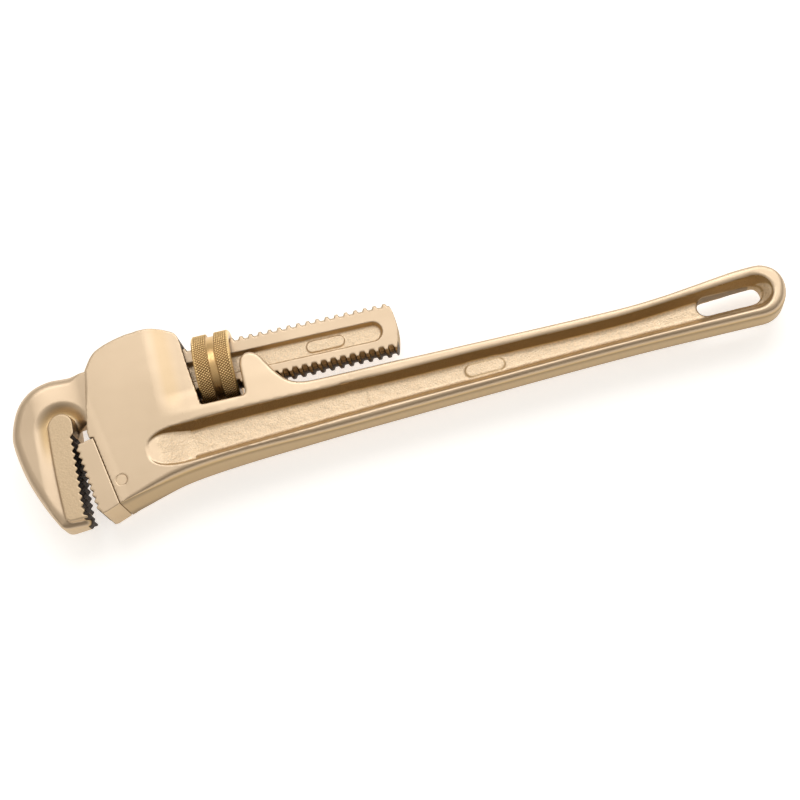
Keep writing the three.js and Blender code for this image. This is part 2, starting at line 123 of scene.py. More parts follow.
NUT = {"r": 19.0, "half": 9.8, "groove_r": 17.3, "groove_half": 2.3, "chamfer": 0.8}
KNURL = {"starts": 80, "lean": 0.0405, "depth": 0.5}     # lean: radians of turn per mm of length
THREAD = {"pitch": 5.08, "minor": 12.95, "major": 14.45, "crest": 0.91, "flank": 0.7}
COIL = {"turns": 3.5, "wire": 0.7}

TABLE_GLOW = 0.54
KEY_WATTS = 4.0
RIGHT_WATTS = 2.8
FILL_WATTS = 0.5
ROOM_FRONT = (0.12, 0.092, 0.06, 1.0)
ROOM_BACK = (0.68, 0.64, 0.575, 1.0)

# The camera looks from a little towards the mouth's side, rolled so the handle climbs to the right.
LOOK_FROM = Vector((0.02, -0.275, 1.0)).normalized()
CAMERA_DISTANCE = 1.030
ROLL = math.radians(13.5)
LENS = 90.0


def drawn(point):
    """A point of the row's frame, in the drawing's millimetres."""
    return (np.array(point) - ORIGIN) / MM


def box(node):
    low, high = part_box(node)
    return drawn(low), drawn(high)


# ---- noise, the same on every run ----
def value_noise(points, size, seed):
    """Smooth noise from -1 to 1 with features about size across."""
    p = points / size
    cell = np.floor(p).astype(np.int64)
    f = p - cell
    f = f * f * (3 - 2 * f)
    total = np.zeros(len(p))
    for corner in range(8):
        step = np.array([corner & 1, corner >> 1 & 1, corner >> 2 & 1])
        c = cell + step
        h = (c[:, 0] * 73856093 ^ c[:, 1] * 19349663 ^ c[:, 2] * 83492791 ^ seed * 2654435761)
        h = (h ^ h >> 13) * 1274126177 & 0xFFFFFFFF
        weight = np.prod(np.where(step, f, 1 - f), axis=1)
        total += weight * (h / 0x7FFFFFFF - 1)
    return total


def ramp(x, low, high):
    t = np.clip((x - low) / (high - low), 0, 1)
    return t * t * (3 - 2 * t)


# ---- closed shapes as signed distances, negative inside ----
def cad_mesh(node):
    """A CAD node's points, triangles and no quads."""
    data = frame["nodes"][node].data
    data.calc_loop_triangles()
    points = np.empty(len(data.vertices) * 3, np.float32)
    data.vertices.foreach_get("co", points)
    tris = np.empty(len(data.loop_triangles) * 3, np.int32)
    data.loop_triangles.foreach_get("vertices", tris)
    return drawn(points.reshape(-1, 3)), tris.reshape(-1, 3).astype(np.uint32), None


def level_set(mesh, voxel, reach):
    points, tris, quads = mesh
    return vdb.FloatGrid.createLevelSetFromPolygons(
        points.astype(np.float32), triangles=tris, quads=quads,
        transform=vdb.createLinearTransform(voxelSize=voxel), halfWidth=reach / voxel + 3,
    )


def shifted(mesh, voxel, amount):
    """The surface moved out by amount, or in where amount is negative, at a true distance."""
    return level_set(mesh, voxel, abs(amount)).convertToPolygons(isovalue=amount, adaptivity=0)


def rounded(mesh, voxel, radius, fillet):
    """Outside edges rounded to radius and inside corners filled to fillet."""
    mesh = shifted(mesh, voxel, -radius)
    mesh = shifted(mesh, voxel, radius + fillet)
    return shifted(mesh, voxel, -fillet)


def both(a, b, radius):
    """Where two shapes overlap, with the edge between them rounded."""
    u, v = np.maximum(a + radius, 0), np.maximum(b + radius, 0)
    return np.minimum(np.maximum(a, b), -radius) + np.sqrt(u * u + v * v)


def either(a, b, fillet):
    """Two shapes as one, with the corner between them filled."""
    u, v = np.maximum(fillet - a, 0), np.maximum(fillet - b, 0)
    return np.maximum(np.minimum(a, b), fillet) - np.sqrt(u * u + v * v)


class Space:
    """A box of evenly spaced samples that holds shapes as signed distances."""

    def __init__(self, low, high, voxel):
        margin = 4
        self.voxel = voxel
        self.low = np.array(low) - margin * voxel
        self.count = tuple(np.ceil((np.array(high) - self.low) / voxel).astype(int) + margin)
        steps = [self.low[i] + voxel * np.arange(self.count[i], dtype=np.float32) for i in range(3)]
        self.x, self.y, self.z = np.meshgrid(*steps, indexing="ij", sparse=True)

    def distance(self, mesh, reach):
        points, tris, quads = mesh
        values = np.empty(self.count, np.float32)
        level_set((points - self.low, tris, quads), self.voxel, reach).copyToArray(values)
        return values

    def layer(self, z):
        return int(round((z - self.low[2]) / self.voxel))

    def height(self, z):
        """The height of the samples nearest to z."""
        return self.low[2] + self.voxel * self.layer(z)

    def level(self, values, z):
        """The samples nearest to z."""
        return values[:, :, self.layer(z):self.layer(z) + 1]

    def surface(self, values):
        band = 3 * self.voxel
        grid = vdb.FloatGrid(band)
        grid.copyFromArray(np.clip(values, -band, band).astype(np.float32))
        grid.gridClass = vdb.GridClass.LEVEL_SET
        grid.transform = vdb.createLinearTransform(voxelSize=self.voxel)
        points, tris, quads = grid.convertToPolygons(isovalue=0.0, adaptivity=0)
        return points + self.low, tris, quads


# ---- mesh objects ----
def mesh_object(name, mesh):
    """An object in the row's frame from points in the drawing's millimetres."""
    points, tris, quads = mesh
    faces = []
    for group in (quads, tris):
        if group is not None and len(group):
            faces += group[:, ::-1].tolist()
    data = bpy.data.meshes.new(name)
    data.from_pydata((np.asarray(points, float) * MM + ORIGIN).tolist(), [], faces)
    data.update()
    obj = bpy.data.objects.new(name, data)
    bpy.context.scene.collection.objects.link(obj)
    data.shade_smooth()
    return obj


def places(obj):
    values = np.empty(len(obj.data.vertices) * 3, np.float32)
    obj.data.vertices.foreach_get("co", values)
    return drawn(values.reshape(-1, 3).astype(float))


def normals(obj):
    values = np.empty(len(obj.data.vertices) * 3, np.float32)
    obj.data.vertex_normals.foreach_get("vector", values)
    return values.reshape(-1, 3).astype(float)


def move_to(obj, points):
    obj.data.vertices.foreach_set("co", (points * MM + ORIGIN).astype(np.float32).ravel())
    obj.data.update()


def edge_ends(obj):
    edges = np.empty(len(obj.data.edges) * 2, np.int32)
    obj.data.edges.foreach_get("vertices", edges)
    a, b = edges.reshape(-1, 2).T
    degree = np.bincount(np.concatenate([a, b]), minlength=len(obj.data.vertices))
    return a, b, np.maximum(degree, 1)


def paint(obj, name, values):
    """A per-vertex number that the materials read."""
    layer = obj.data.attributes.new(name, "FLOAT", "POINT")
    layer.data.foreach_set("value", np.clip(values, 0, 1).astype(np.float32))


def paint_plain(obj):
    for name in ("cast", "wear", "dark"):
        paint(obj, name, np.zeros(len(obj.data.vertices)))


def steepness(n):
    """0 on faces that look up or down, 1 on walls."""
    return ramp(1 - np.abs(n[:, 2]), 0.35, 0.85)


def relax(obj, rounds, keep=None):
    """Evens out the grid's stepping without shrinking: each smoothing is undone at large scale.
    keep, from 0 to 1 at each vertex, holds crisp places still."""
    a, b, degree = edge_ends(obj)
    count = len(degree)
    share = 1.0 if keep is None else (1 - keep)[:, None]
    p = places(obj)
    for _ in range(rounds):
        for strength in (0.5, -0.53):
            near = np.stack([np.bincount(a, p[b, k], count) + np.bincount(b, p[a, k], count)
                             for k in range(3)], 1)
            p = p + share * strength * (near / degree[:, None] - p)
    move_to(obj, p)


def edge_wear(obj, scale):
    """How sharply the surface turns outwards at each vertex, from 0 to 1. scale is in mm."""
    a, b, degree = edge_ends(obj)
    count = len(degree)
    p, n = places(obj), normals(obj)
    bend = np.einsum("ij,ij->i", n[a] - n[b], p[a] - p[b]) / scale
    total = np.bincount(a, bend, count) + np.bincount(b, bend, count)
    return np.clip(total / degree, 0, 1)


# ---- materials ----
class Nodes:
    """A material's node tree, with each node made and wired in one call."""

    def __init__(self, name):
        self.material = bpy.data.materials.new(name)
        self.material.use_nodes = True
        self.tree = self.material.node_tree
        self.shader = self.tree.nodes["Principled BSDF"]
        self.coords = self.add("ShaderNodeTexCoord").outputs["Object"]

    def add(self, kind, wires=(), **settings):
        node = self.tree.nodes.new(kind)
        for key, value in settings.items():
            setattr(node, key, value)
        for socket, value in dict(wires).items():
            if isinstance(value, bpy.types.NodeSocket):
                self.tree.links.new(value, node.inputs[socket])
            else:
                node.inputs[socket].default_value = value
        return node

    def noise(self, size, detail=4.0, stretch=(1, 1, 1)):
        place = self.add("ShaderNodeMapping", {"Vector": self.coords, "Scale": stretch})
        wires = {"Vector": place.outputs[0], "Scale": 1 / (size * MM), "Detail": detail}
        return self.add("ShaderNodeTexNoise", wires).outputs["Fac"]

    def attribute(self, name):
        return self.add("ShaderNodeAttribute", attribute_name=name).outputs["Fac"]

    def span(self, value, low, high, to_low=0.0, to_high=1.0):
        wires = {"Value": value, "From Min": low, "From Max": high,
                 "To Min": to_low, "To Max": to_high}
        return self.add("ShaderNodeMapRange", wires).outputs["Result"]

    def math(self, operation, a, b):
        return self.add("ShaderNodeMath", {0: a, 1: b}, operation=operation).outputs[0]

    def blend(self, factor, a, b):
        wires = {"Factor": factor, "A": a, "B": b}
        return self.add("ShaderNodeMix", wires, data_type="FLOAT").outputs["Result"]

    def mix(self, factor, a, b):
        node = self.add("ShaderNodeMix", data_type="RGBA")
        for socket, value in ((node.inputs[0], factor), (node.inputs[6], a), (node.inputs[7], b)):
            if isinstance(value, bpy.types.NodeSocket):
                self.tree.links.new(value, socket)
            else:
                socket.default_value = value if socket == node.inputs[0] else (*value, 1)
        return node.outputs[2]

    def bump(self, height, distance, strength=1.0, under=None):
        wires = {"Height": height, "Distance": distance * MM, "Strength": strength}
        if under is not None:
            wires["Normal"] = under
        return self.add("ShaderNodeBump", wires).outputs["Normal"]

    def finish(self, colour, roughness, normal, metallic=1.0):
        self.shader.inputs["Metallic"].default_value = metallic
        self.tree.links.new(colour, self.shader.inputs["Base Color"])
        self.tree.links.new(roughness, self.shader.inputs["Roughness"])
        self.tree.links.new(normal, self.shader.inputs["Normal"])
        return self.material


def shade(colour, amount):
    return [min(1.0, c * amount) for c in colour]


def cast_bronze(name, light, deep, cast, rough):
    """Satin ground bronze, with sand-cast skin, and painted shade where the attributes say."""
    n = Nodes(name)
    skin, wear, dark = n.attribute("cast"), n.attribute("wear"), n.attribute("dark")
    cloud = n.span(n.noise(45, 3), 0.35, 0.65)
    sand = n.span(n.noise(1.1, 6), 0.36, 0.64)
    colour = n.mix(skin, n.mix(cloud, light, deep), n.mix(sand, shade(cast, 0.80), cast))
    colour = n.mix(n.math("MULTIPLY", wear, 0.4), colour, shade(light, 1.08))
    # Painted shade: the dark attribute takes the colour to a dark brown, and past its middle to near black.
    colour = n.mix(n.span(dark, 0.0, 0.5), colour, (0.60, 0.43, 0.225))
    colour = n.mix(n.span(dark, 0.5, 1.0), colour, (0.035, 0.018, 0.007))

    # Casting pores on the ground faces: sparse cells, each with a tiny dark middle.
    cells = n.add("ShaderNodeTexVoronoi", {"Vector": n.coords, "Scale": 1 / (14 * MM)})
    pore = n.span(cells.outputs["Distance"], 0.022, 0.042, 1.0, 0.0)
    pore = n.math("MULTIPLY", pore, n.span(cells.outputs["Color"], 0.74, 0.76))
    colour = n.mix(n.math("MULTIPLY", pore, 0.75), colour, (0.16, 0.09, 0.035))

    satin = n.span(n.noise(7, 4, (0.3, 1, 1)), 0.3, 0.7, rough - 0.02, rough + 0.02)
    roughness = n.blend(skin, satin, n.span(sand, 0, 1, 0.46, 0.58))
    roughness = n.blend(dark, roughness, 0.55)
    normal = n.bump(n.noise(0.9, 3, (0.06, 1, 1)), 0.012, 0.5)
    grain = n.math("MULTIPLY", n.noise(0.9, 6), n.span(skin, 0, 1, 0.04, 1.0))
    normal = n.bump(grain, 0.24, 0.9, normal)
    normal = n.bump(n.math("MULTIPLY", pore, -1.0), 0.25, 0.8, normal)
    return n.finish(colour, roughness, normal)


def turned_brass(name, light, dark, rough):
    """Machined brass, with painted shade in its grooves."""
    n = Nodes(name)
    painted_groove_shade, wear = n.attribute("cast"), n.attribute("wear")
    cloud = n.span(n.noise(9, 4), 0.35, 0.65)
    # On the nut, the cast attribute carries painted shade, dark in the grooves.
    colour = n.mix(painted_groove_shade, n.mix(cloud, light, shade(light, 0.82)), dark)
    colour = n.mix(n.math("MULTIPLY", wear, 0.5), colour, shade(light, 1.3))
    roughness = n.span(n.noise(1.4, 4), 0.3, 0.7, rough - 0.05, rough + 0.10)
    return n.finish(colour, roughness, n.bump(n.noise(0.35, 4, (1, 0.15, 0.15)), 0.02, 0.6))


def lit_table():
    """White acrylic, lit a little from below."""
    n = Nodes("lit_table")
    colour = n.mix(n.span(n.noise(400, 2), 0.3, 0.7), (0.86, 0.86, 0.86), (0.88, 0.88, 0.875))
    n.shader.inputs["Emission Color"].default_value = (0.985, 0.99, 1.0, 1.0)
    n.shader.inputs["Emission Strength"].default_value = TABLE_GLOW
    rough = n.span(n.noise(50, 2), 0.3, 0.7, 0.85, 0.92)
    return n.finish(colour, rough, n.bump(n.noise(3, 2), 0.01, 0.1), 0.0)


def put(obj, material, body, node):
    move_to(obj, np.clip(places(obj), drawn(CAD_BOX[0]), drawn(CAD_BOX[1])))
    obj.data.materials.clear()
    obj.data.materials.append(material)
    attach(obj, body)
    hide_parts(node)
    return obj


# ---- handle and housing ----
def from_seam(x, y):
    """Distance from the heel jaw's joint line, towards the handle's end."""
    (x0, y0), (x1, y1) = SEAM
    length = math.hypot(x1 - x0, y1 - y0)
    return ((x - x0) * (y1 - y0) - (y - y0) * (x1 - x0)) / length


def bowl_plan(x, y):
    """Distance in plan from the rounded head end of the channel, negative inside."""
    power = BOWL["power"]
    reach = (np.maximum(BOWL["x"] - x, 0) / BOWL["long"]) ** power
    reach = reach + (np.abs(y - BOWL["y"]) / BOWL["wide"]) ** power
    return BOWL["wide"] * (reach ** (1 / power) - 1)


def channel_depth(p):
    """How far each point lies below the handle's flanges, inside the channel's rim."""
    half = HEAD_HALF + (GRIP_HALF - HEAD_HALF) * ramp(p[:, 0], *GRIP_TAPER)
    low = np.interp(p[:, 0], CHANNEL_X, CHANNEL_LOW)
    high = np.interp(p[:, 0], CHANNEL_X, CHANNEL_HIGH)
    inside = ramp(p[:, 1], low - 0.4, low + 0.4) * ramp(-p[:, 1], -high - 0.4, 0.4 - high)
    inside *= p[:, 0] < CHANNEL_X[-1]
    bowl = ramp(-bowl_plan(p[:, 0], p[:, 1]), -0.8, 0.1)
    inside = bowl + (inside - bowl) * ramp(p[:, 0], -114, -106)
    return (half - np.abs(p[:, 2])) * inside


def soft_flank(soft, half, outline, x, y, z):
    """The window's flank falls away softly and runs out into the flange under it. Only the
    cheeks' outer part is filled, so the shank's passage stays open."""
    flank = HEAD_HALF
    for drop, start, end in FLANK["drops"]:
        flank = flank - drop * ramp(x, start, end)
    flank = np.minimum(half, half - (half - flank) * ramp(y, *FLANK["fade"]))
    first, last = FLANK["x"]
    beyond = np.maximum(np.maximum(FLANK["y"] - y, CHEEK_MIDDLE - 1 - z), np.maximum(first - x, x - last))
    soft = np.minimum(soft, np.maximum(both(z - half, outline, FLANK["round"]), beyond))
    return np.maximum(soft, np.minimum(z - flank, -np.maximum(FLANK["y"] - y, x - last)))


def climbing_end(soft, outline, x, z):
    """At the handle's end the channel's floor climbs to the rim."""
    climb = WEB_HALF + (GRIP_HALF - WEB_HALF) * ramp(x, *CLIMB["x"])
    above = both(FLOOR_STEEPNESS * (z - climb), outline, CLIMB["round"])
    return np.minimum(soft, np.maximum(above, CLIMB["from"] - x))


def bowl_end(soft, half, outline, x, y, z):
    """Towards the head the channel's floor rises, as the CAD's does, and ends in a shallow bowl
    that is rounded in plan."""
    floor = WEB_HALF + BOWL["slope"] * np.maximum(BOWL["from"] - x, 0)
    floor = floor + (HEAD_HALF - floor) * ramp(-x, *BOWL["rise"])
    low, high = BOWL["y_range"]
    beyond = np.maximum(x - BOWL["from"], y - high)
    raised = np.maximum(np.maximum(FLOOR_STEEPNESS * (z - floor), outline), beyond)
    soft = np.minimum(soft, np.maximum(raised, low - y))
    filled = np.maximum(np.maximum(z - half, x - BOWL["x"]), np.abs(y - BOWL["y"]) - BOWL["fill"])
    soft = np.minimum(soft, np.maximum(filled, outline))
    plan = bowl_plan(x, y) + BOWL["draft"] * (half - z)
    hollow = np.maximum(np.maximum(plan, floor - z), x - BOWL["x"] - BOWL["blend"])
    return np.maximum(soft, -hollow)


def rolled_edge(soft, half, outline, x, y, z):
    """The outer edge is rolled along the grip and under the head, and nearly square elsewhere."""
    upper = ramp(y, -2 + 0.02 * x, 12 + 0.02 * x)
    rolled = ramp(x, *ROLLED["grip_x"]) * (1 - 0.7 * upper)
    rolled = np.maximum(rolled, ramp(-y, -6, 6) * ramp(x, *ROLLED["head_x"]))
    flatten = 1 - (0.5 - 0.2 * ramp(x, -110, -50)) * rolled * (1 - upper)
    radius = ROLLED["least"] + ROLLED["most"] * rolled
    return np.maximum(soft, both((z - half) * flatten, outline, radius))


def handle_shape(space):
    cad = cad_mesh("handle")
    x, y, z = space.x, space.y, np.abs(space.z)
    plain = space.distance(cad, HANDLE["reach"])
    near = 3 * space.voxel
    rim = space.distance(rounded(cad, space.voxel, *HANDLE["rim"]), near)
    loop = space.distance(rounded(cad, space.voxel, *HANDLE["loop"]), near)
    soft = rim + (loop - rim) * ramp(x, *HANDLE["loop_x"])

    # Seen from the side: the web's outline at mid height, and the cheeks' outline above it.
    above = HEAD_HALF + 1
    half = space.height(above) - space.level(plain, above).min(axis=1, keepdims=True)
    outline = np.minimum(space.level(plain, 0), space.level(plain, CHEEK_MIDDLE))
    pin = np.hypot(x - PIN["x"], y - PIN["y"])
    outline = np.minimum(outline, 2 * (pin - PIN["cover"]))

    soft = soft_flank(soft, half, outline, x, y, z)
    soft = climbing_end(soft, outline, x, z)
    soft = bowl_end(soft, half, outline, x, y, z)
    soft = rolled_edge(soft, half, outline, x, y, z)

    # The blank pad keeps a crisp edge.
    out = np.maximum(np.abs(x - PAD["x"]) - PAD["half"], 0)
    pad = both(z - WEB_HALF - PAD["height"], np.hypot(out, y - PAD["y"]) - PAD["r"], 0.25)
    soft = np.minimum(soft, pad)
    share = ramp(from_seam(x, y), *SEAM_FADE)
    body = plain - SEAM_GROWTH + (soft - plain + SEAM_GROWTH) * share

    # The shank's passage and the coil's pocket follow the CAD, with no rounding or fillet added.
    passage = (z < CHEEK_MIDDLE - 1) & (y > PASSAGE["y"]) & (x > PASSAGE["x"][0])
    body = np.where(passage & (x < PASSAGE["x"][1]), plain, body)

    # The pin's hole is closed, then drilled again with a sharp rim.
    plug = np.maximum(pin - PIN["plug"], z - HEAD_HALF - SEAM_GROWTH * (1 - share))
    return np.maximum(np.minimum(body, plug), PIN["r"] + PIN["hole"] - pin)


def handle_painted_shade(p, n, depth, wall):
    """How much painted shade each point gets, from its place, the way it faces and its depth in the channel.
    """
    window = (p[:, 0] < WINDOW["x"]) & (p[:, 1] > WINDOW["y"])
    slot = np.hypot(np.maximum(p[:, 0] - SLOT["end"], 0), p[:, 1] - SLOT["y"]) < SLOT["r"]
    slot &= (p[:, 0] > SLOT["start"]) & ((np.abs(p[:, 2]) < WEB_HALF + 0.7) | (p[:, 0] > SLOT["end"]))
    half = HEAD_HALF + (GRIP_HALF - HEAD_HALF) * ramp(p[:, 0], *GRIP_TAPER)
    # Painted shade on the walls: darker where they face -y and deeper in the channel, near-black in the
    # nut's window, dark in the slot.
    side = 0.57 + 0.16 * (1 - ramp(half - np.abs(p[:, 2]), 2.5, 9.0))
    dark = np.where(n[:, 1] < 0, side, 0.30)
    shadow = np.where(n[:, 1] < 0, 0.75, 0.46) - 0.22 * ramp(n[:, 0], 0.2, 0.6)
    shadow *= 1 - 0.2 * ramp(p[:, 0], 140, 175)
    dark = dark + (shadow - dark) * ramp(depth, 0.4, 1.0)
    dark = np.where(window, 0.95, np.where(slot, 0.80, dark))

    # A faint band of painted shade where the housing's flat meets the window's flank, and a painted shade
    # line round the pad.
    band = ramp(p[:, 0], -119, -114) * ramp(-p[:, 0], 106, 112) * ramp(p[:, 1], 18, 32)
    dark = np.maximum(dark * wall, 0.20 * band * (n[:, 2] ** 2 > 0.8))
    out = np.hypot(np.maximum(np.abs(p[:, 0] - PAD["x"]) - PAD["half"], 0), p[:, 1] - PAD["y"])
    ring = (1 - ramp(np.abs(out - PAD["r"]), 0.15, 0.7)) * (depth > 0.5)
    return np.where(out < PAD["r"] + 1, 0.36 * ring, dark)


def make_handle():
    space = Space(*box("handle"), HANDLE["voxel"])
    obj = mesh_object("handle_casting", space.surface(handle_shape(space)))
    relax(obj, 4)
    p, n = places(obj), normals(obj)
    depth = channel_depth(p)
    sunk = ramp(depth, 1.2, 2.2)
    lumps = 0.10 * value_noise(p, 7.5, 6) + 0.07 * value_noise(p, 3.2, 3)
    lumps += 0.04 * value_noise(p, 1.7, 4)
    sway = 0.03 * value_noise(p, 24, 5) * (1 - sunk) * (n[:, 2] ** 2 < 0.9)
    move_to(obj, p + n * (lumps * sunk + sway)[:, None])
    wall = np.maximum(steepness(n), ramp(1 - np.abs(n[:, 2]), 0.16, 0.42) * (depth > 0.5))
    paint(obj, "dark", handle_painted_shade(p, n, depth, wall))
    paint(obj, "cast", sunk)
    paint(obj, "wear", edge_wear(obj, 0.45) * (1 - sunk) * (1 - wall))
    return put(obj, BRONZE, "handle_body", "handle")


# ---- hook jaw ----
def block_distance(x, y):
    """Signed distance in plan from the raised tooth block, a rounded bar."""
    middle = BLOCK["x"] - 0.5 + 0.9 * ((y - 5) / 28) ** 2
    across = np.abs(x - middle)
    above = np.hypot(across, y - BLOCK["high"]) - BLOCK["half"]
    r = BLOCK["low_r"]
    out = np.maximum(across - (BLOCK["half"] - r), 0)
    below = np.hypot(out, np.minimum(y - BLOCK["low"] - r, 0)) - r
    beside = across - BLOCK["half"]
    upper = np.where(y > BLOCK["high"], above, beside)
    return np.where(y < BLOCK["low"] + r, np.maximum(below, BLOCK["low"] - y), upper)


def make_hook():
    space = Space(*box("hook_jaw"), HOOK["voxel"])
    x, y, z = space.x, space.y, np.abs(space.z)
    cad = space.distance(cad_mesh("hook_jaw"), HOOK["reach"])
    outline = space.level(cad, 0)

    block = block_distance(x, y)
    strength = ramp(y, 6, 26) * (0.25 + 0.75 * ramp(x, -182, -170))
    depth = VALLEY["shallow"] + (VALLEY["depth"] - VALLEY["shallow"]) * np.minimum(strength, 1)
    hollow = depth * (1 - ramp(block, VALLEY["flat"], VALLEY["reach"]))
    half = HOOK_HALF + (SHANK_HALF - HOOK_HALF) * ramp(x, *NECK) - hollow
    radius = HOOK["edge"][0] - HOOK["edge"][1] * ramp(x, *HOOK["edge_x"])
    body = both(z - half, outline, radius)
    teeth = both(both(z - HOOK_HALF, block, 0.9), outline, 0.35)
    head = np.maximum(either(body, teeth, 0.7), x - NECK_CUT - 5)
    shank = np.maximum(cad, NECK_CUT - x)
    obj = mesh_object("hook_jaw_forging", space.surface(np.minimum(head, shank)))
    relax(obj, 3)

    p, n = places(obj), normals(obj)
    along = (p - NUT_AT) @ SHANK_AXIS
    across = (p - NUT_AT) @ np.array((-SHANK_AXIS[1], SHANK_AXIS[0], 0))
    on_shank = along > SHANK_FROM
    sunk = ramp(SHANK_HALF - np.abs(p[:, 2]), 0.7, 1.8) * (np.abs(across) < 7) * on_shank
    facing = (block_distance(p[:, 0], p[:, 1]) < -0.4) & (np.abs(p[:, 2]) > HOOK_HALF - 0.3)
    skin = np.clip(sunk + 0.5 * facing, 0, 1)
    # Painted shade on the walls: near-black on the tooth side and the shank's two sides, dark on the shank's
    # other walls, light elsewhere; more in the valley round the tooth block, and a touch on the block's
    # face.
    wall = steepness(n)
    toothed = (p[:, 0] > -170) & (p[:, 1] < 22) & ~on_shank
    under = on_shank & (across < -9) | on_shank & (across > 9)
    dark = np.where(toothed, 1.0, np.where(under, 0.97, np.where(on_shank, 0.65, 0.30)))
    near = block_distance(p[:, 0], p[:, 1])
    dip = ramp(near, -0.2, 0.8) * ramp(-near, -6.0, -2.0) * ramp(p[:, 1], 5, 26)
    dip *= (np.abs(p[:, 2]) > 5) & ~on_shank
    paint(obj, "dark", np.maximum(np.maximum(dark * wall, 0.42 * dip), 0.14 * facing))
    move_to(obj, p + n * (0.07 * value_noise(p, 2.4, 8) * sunk
                          + 0.04 * value_noise(p, 16, 9) * ~on_shank)[:, None])
    paint(obj, "cast", skin)
    paint(obj, "wear", edge_wear(obj, 0.35) * (1 - sunk) * (1 - wall))
    return put(obj, SHADED_HOOK_BRONZE, "hook_body", "hook_jaw")


# ---- heel jaw and its pin ----
def make_heel():
    mesh = shifted(rounded(cad_mesh("heel_jaw"), 0.22, 0.15, 0.12), 0.22, 0.08)
    obj = mesh_object("heel_jaw_insert", mesh)
    relax(obj, 3)
    n = normals(obj)
    paint(obj, "cast", np.zeros(len(n)))
    # Painted shade on the walls, near-black on the tooth side that faces the hook.
    paint(obj, "dark", np.where(n[:, 0] < -0.2, 0.85, 0.36) * steepness(n))
    paint(obj, "wear", edge_wear(obj, 0.3) * (1 - steepness(n)))
    return put(obj, BRONZE, "handle_body", "heel_jaw")


def make_pin():
    low, high = box("heel_jaw_pin")
    sides, ease = 64, 0.04
    half, r = (high[2] - low[2]) / 2, PIN["r"] + PIN["grown"]
    end = [(half, r * 0.5), (half - 0.01, r - ease), (half - ease, r)]
    profile = [(-z, ring) for z, ring in end] + [(z, ring) for z, ring in reversed(end)]
    angle = np.arange(sides) / sides * 2 * math.pi
    points = np.concatenate([
        np.stack([PIN["x"] + ring * np.cos(angle), PIN["y"] + ring * np.sin(angle),
                  np.full(sides, z)], 1) for z, ring in profile
    ])
    grid = np.arange(len(points)).reshape(-1, sides)
    obj = mesh_object("heel_jaw_pin_turned", (points, None, side_quads(grid)[:, ::-1]))
    close_ends(obj, grid[0][::-1], grid[-1])
    obj.data.shade_flat()
    paint_plain(obj)
    return put(obj, PIN_BRONZE, "handle_body", "heel_jaw_pin")


# ---- surfaces made of rings ----
def side_quads(grid, closed=False):
    """Faces between rows of points. Each row is a ring, and closed joins the last row to the first."""
    beside = np.roll(grid, -1, 1)
    if closed:
        rows = grid, beside, np.roll(beside, -1, 0), np.roll(grid, -1, 0)
    else:
        rows = grid[:-1], beside[:-1], beside[1:], grid[1:]
    return np.stack(rows, -1).reshape(-1, 4)


def close_ends(obj, first, last):
    mesh = obj.data
    vertices = [v.co.copy() for v in mesh.vertices]
    faces = [tuple(f.vertices) for f in mesh.polygons]
    mesh.clear_geometry()
    mesh.from_pydata(vertices, [], faces + [tuple(map(int, first)), tuple(map(int, last))])
    mesh.update()
    mesh.shade_smooth()


# ---- adjusting nut ----
def nut_profile():
    """Outer outline of the nut as (place, radius), finely stepped where it is knurled."""
    wall = 0.45
    band = np.linspace(NUT["chamfer"] - NUT["half"], -NUT["groove_half"], 44)
    left = [(-NUT["half"], NUT["r"] - NUT["chamfer"])] + [(x, NUT["r"]) for x in band]
    flat = NUT["groove_half"] - wall
    floor = [(x, NUT["groove_r"]) for x in np.linspace(-flat, flat, 7)]
    return left + floor + [(-x, r) for x, r in reversed(left)]


def knurl(along, angle):
    """Depth below the crest of a diamond knurl, from 0 on a point to 1 in a groove."""
    turn, lean = KNURL["starts"] * angle, KNURL["starts"] * KNURL["lean"] * along
    one = np.abs(np.mod((turn + lean) / (2 * math.pi), 1) * 2 - 1)
    two = np.abs(np.mod((turn - lean) / (2 * math.pi), 1) * 2 - 1)
    return np.clip(1.7 * np.maximum(one, two) - 0.7, 0, 1)


def thread_radius(along, angle):
    """The nut's bore: a right-hand thread, in step with the shank's."""
    phase = np.mod(along / THREAD["pitch"] - angle / (2 * math.pi), 1)
    phase = np.minimum(phase, 1 - phase) * THREAD["pitch"]
    sunk = 1 - np.clip((phase - THREAD["crest"]) / THREAD["flank"], 0, 1)
    return THREAD["minor"] + (THREAD["major"] - THREAD["minor"]) * sunk


def make_nut():
    sides = KNURL["starts"] * 6
    angle = np.arange(sides) / sides * 2 * math.pi
    lip = NUT["half"] - NUT["chamfer"]
    rows, painted_shade = [], []
    for along, radius in nut_profile():
        fade = np.clip((lip - abs(along)) / 0.4 + 0.25, 0, 1) * (radius == NUT["r"])
        cut = knurl(along, angle) * fade
        rows.append((along, radius - KNURL["depth"] * cut))
        painted_shade.append(np.maximum(cut, 0.25 * (radius == NUT["groove_r"])))
    for along in np.linspace(NUT["half"], -NUT["half"], 44):
        rows.append((along, thread_radius(along, angle)))
        painted_shade.append(np.full(sides, 0.6))
    across = np.array((-SHANK_AXIS[1], SHANK_AXIS[0], 0))
    points = np.concatenate([
        NUT_AT + along * SHANK_AXIS + np.outer(r * np.cos(angle), across)
        + np.outer(r * np.sin(angle), (0, 0, 1)) for along, r in rows
    ])
    grid = np.arange(len(points)).reshape(-1, sides)
    obj = mesh_object("adjusting_nut_knurled", (points, None, side_quads(grid, closed=True)))
    painted_shade = np.concatenate(painted_shade)
    # Painted shade: dark in the knurl's grooves and the bore, a little in the groove between the bands; the
    # crests and chamfers are lighter as wear.
    paint(obj, "cast", painted_shade)
    paint(obj, "wear", 1 - np.minimum(1, painted_shade * 3))
    return put(obj, BRASS, "nut_body", "adjusting_nut")


